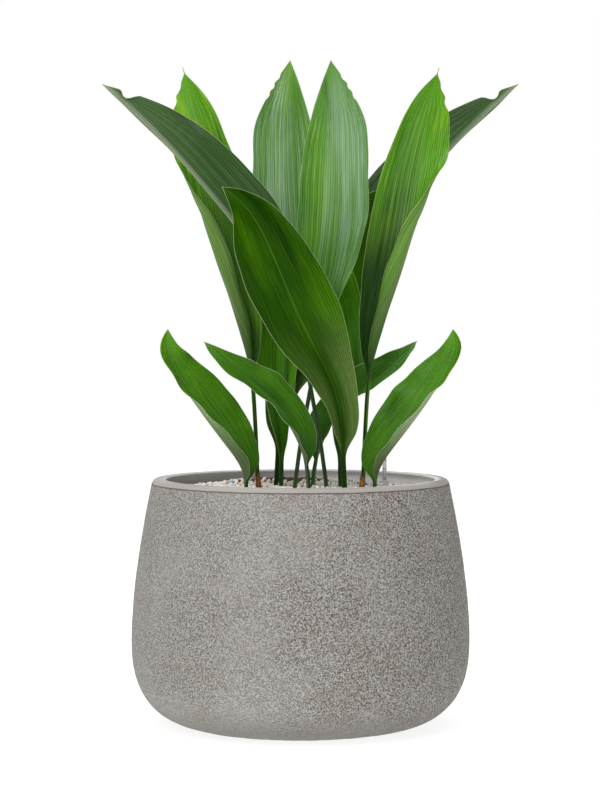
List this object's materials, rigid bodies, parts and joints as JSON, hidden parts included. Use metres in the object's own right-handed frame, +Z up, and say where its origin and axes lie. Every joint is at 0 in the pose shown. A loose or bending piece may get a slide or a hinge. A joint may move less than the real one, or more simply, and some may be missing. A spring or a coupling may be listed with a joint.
{
  "type": "potted cast iron plant",
  "caption": "Cast iron plant with broad glossy upright and arching leaves in a round concrete-look pot, with mineral topping and a water gauge.",
  "frame": {"origin": "centre of the pot's flat base", "axes": "+Z up along the pot's axis, -Y towards the front of the plant, +X to the viewer's right"},
  "size_m": [0.5678, 0.4897, 0.8931],
  "materials": {
    "fibre_concrete": "matt, mottled and finely pitted",
    "soil": "matt, crumbly",
    "granules": "matt mixed mineral granules",
    "rootstock": "matt, scaly",
    "leaf": "glossy, finely veined",
    "sheath": "dry, papery",
    "clear_plastic": "clear",
    "grey_plastic": "satin",
    "float": "satin",
    "red_plastic": "satin"
  },
  "bodies": {
    "pot_and_plant": {"planter": "fibre_concrete", "potting_soil": "soil", "mineral_topping": "granules", "rootstock_left": "rootstock", "rootstock_middle": "rootstock", "rootstock_front": "rootstock", "rootstock_right": "rootstock", "leaf_outer_left": "leaf", "leaf_outer_right": "leaf", "leaf_rolled_right": "leaf", "leaf_rolled_left": "leaf", "leaf_upright_right": "leaf", "leaf_upright_left": "leaf", "leaf_broad_front": "leaf", "leaf_broad_back": "leaf", "leaf_middle_right": "leaf", "leaf_middle_left": "leaf", "leaf_low_left": "leaf", "leaf_low_right": "leaf", "leaf_arching_left": "leaf", "leaf_arching_right": "leaf", "sheath_rolled_left": "sheath", "sheath_rolled_right": "sheath", "gauge_shaft": "grey_plastic", "gauge_collar": "clear_plastic", "gauge_tube": "clear_plastic", "gauge_cap": "clear_plastic"},
    "indicator": {"gauge_float": "float", "gauge_tip": "red_plastic"}
  },
  "joints": [
    {"name": "indicator_rise", "type": "slide", "parent": "pot_and_plant", "child": "indicator", "axis": [0, 0, 1], "range_m": [0, 0.038]}
  ]
}
